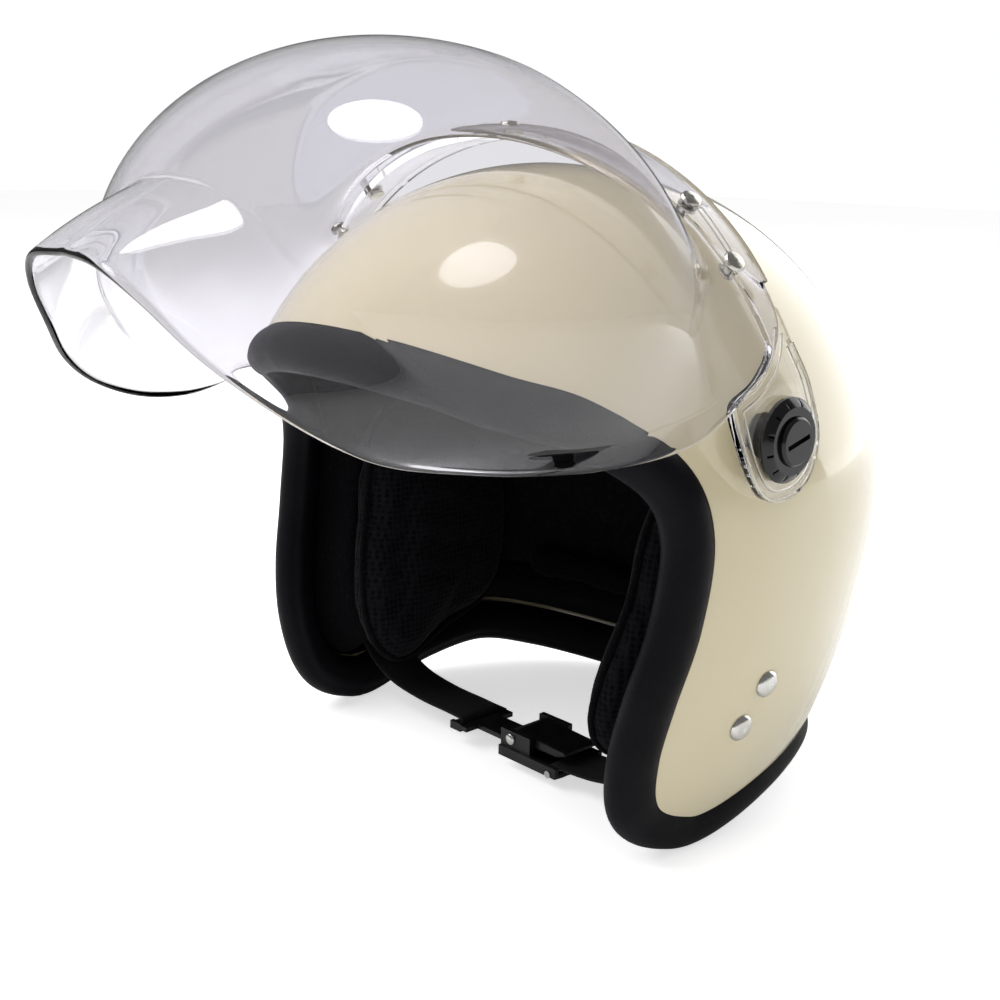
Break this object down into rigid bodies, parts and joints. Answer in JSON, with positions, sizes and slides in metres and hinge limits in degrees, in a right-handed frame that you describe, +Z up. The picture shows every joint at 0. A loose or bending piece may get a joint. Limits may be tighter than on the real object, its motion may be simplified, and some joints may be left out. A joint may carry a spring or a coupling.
{
  "type": "open face motorcycle helmet",
  "caption": "Open face motorcycle helmet with a raised clear bubble visor, rolled edge trim, padded lining and a buckled chin strap.",
  "frame": {"origin": "centre of the bounding box's footprint, on the surface the helmet stands on", "axes": "+Z up, face and visor towards -Y, the wearer's left side towards +X"},
  "size_m": [0.2632, 0.3493, 0.2843],
  "materials": {
    "shell_gloss": "glossy lacquered ivory",
    "trim_vinyl": "satin black rolled vinyl",
    "foam": "matte dark beaded foam",
    "lining_fabric": "black brushed lining",
    "mesh_fabric": "black woven spacer mesh",
    "black_plastic": "satin black moulded plastic",
    "knob_plastic": "glossy black moulded plastic",
    "clear_lens": "clear polished lens with a faint grey tint",
    "clear_frame": "clear moulded plastic",
    "clear_rivet": "pale clear snap rivet",
    "steel": "zinc plated steel",
    "nickel": "bright nickel plate",
    "webbing": "black woven webbing"
  },
  "bodies": {
    "helmet": {"shell": "shell_gloss", "edge_trim": "trim_vinyl", "foam_liner": "foam", "face_lining": "lining_fabric", "channel_linings": "lining_fabric", "crown_liner": "lining_fabric", "brow_pad": "mesh_fabric", "cheek_pad_left": "mesh_fabric", "cheek_pad_right": "mesh_fabric", "neck_roll": "lining_fabric", "pivot_spacers": "black_plastic", "pivot_bushes": "steel", "tee_nuts": "steel", "hinge_screws": "steel", "knob_bases": "knob_plastic", "knob_caps": "knob_plastic", "strap_rivets": "nickel", "anchor_plates": "steel", "strap_left": "webbing", "strap_right": "webbing", "buckle_body": "black_plastic", "buckle_bar": "nickel", "lever_pin": "nickel", "buckle_tongue": "black_plastic"},
    "visor": {"visor_lens": "clear_lens", "visor_frame": "clear_frame", "frame_rivets": "clear_rivet"},
    "lever": {"buckle_lever": "black_plastic"}
  },
  "joints": [
    {"name": "visor_hinge", "type": "hinge", "parent": "helmet", "child": "visor", "pos_m": [0, 0.01596, 0.15655], "axis": [1, 0, 0], "range_deg": [-8, 40]},
    {"name": "lever_hinge", "type": "hinge", "parent": "helmet", "child": "lever", "pos_m": [0.0095, 0.018, 0.013], "axis": [0, -1, 0], "range_deg": [0, 40], "stiffness_Nm_per_rad": 0.02}
  ]
}
